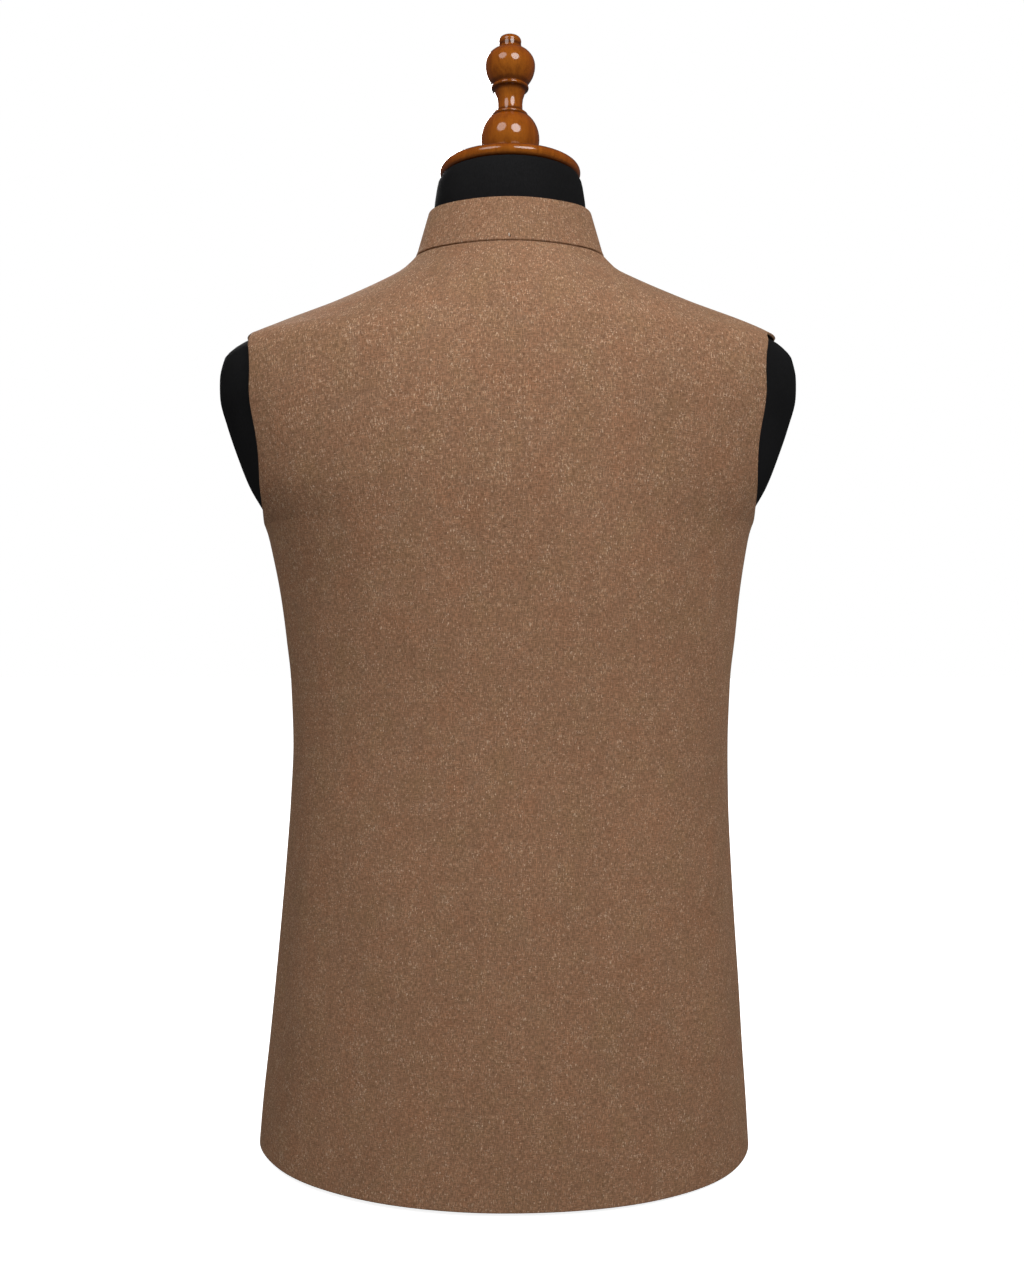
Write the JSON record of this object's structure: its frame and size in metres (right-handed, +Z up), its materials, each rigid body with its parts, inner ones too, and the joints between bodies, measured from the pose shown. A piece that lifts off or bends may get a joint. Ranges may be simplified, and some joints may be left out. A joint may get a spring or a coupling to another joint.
{
  "type": "waistcoat on dress form",
  "caption": "Sleeveless stand-collar waistcoat in flecked brown cloth, buttoned at the front, worn by a black limbless dress form with a turned wood finial.",
  "frame": {"origin": "middle of the dress form's flat base, on the surface that it stands on", "axes": "+Z up, the wearer faces -Y, the wearer's left is +X"},
  "size_m": [0.4566, 0.2662, 0.8788],
  "materials": {
    "cloth": "matte slubbed weave with pale flecks",
    "button": "polished horn look",
    "jersey": "matte fine knit stretched over the form",
    "wood": "glossy amber varnish"
  },
  "bodies": {
    "root": {"back": "cloth", "front_left": "cloth", "front_right": "cloth", "collar": "cloth", "button_1": "button", "button_2": "button", "button_3": "button", "button_4": "button", "button_5": "button", "form_body": "jersey", "neck_cap": "wood", "finial": "wood"}
  },
  "joints": []
}
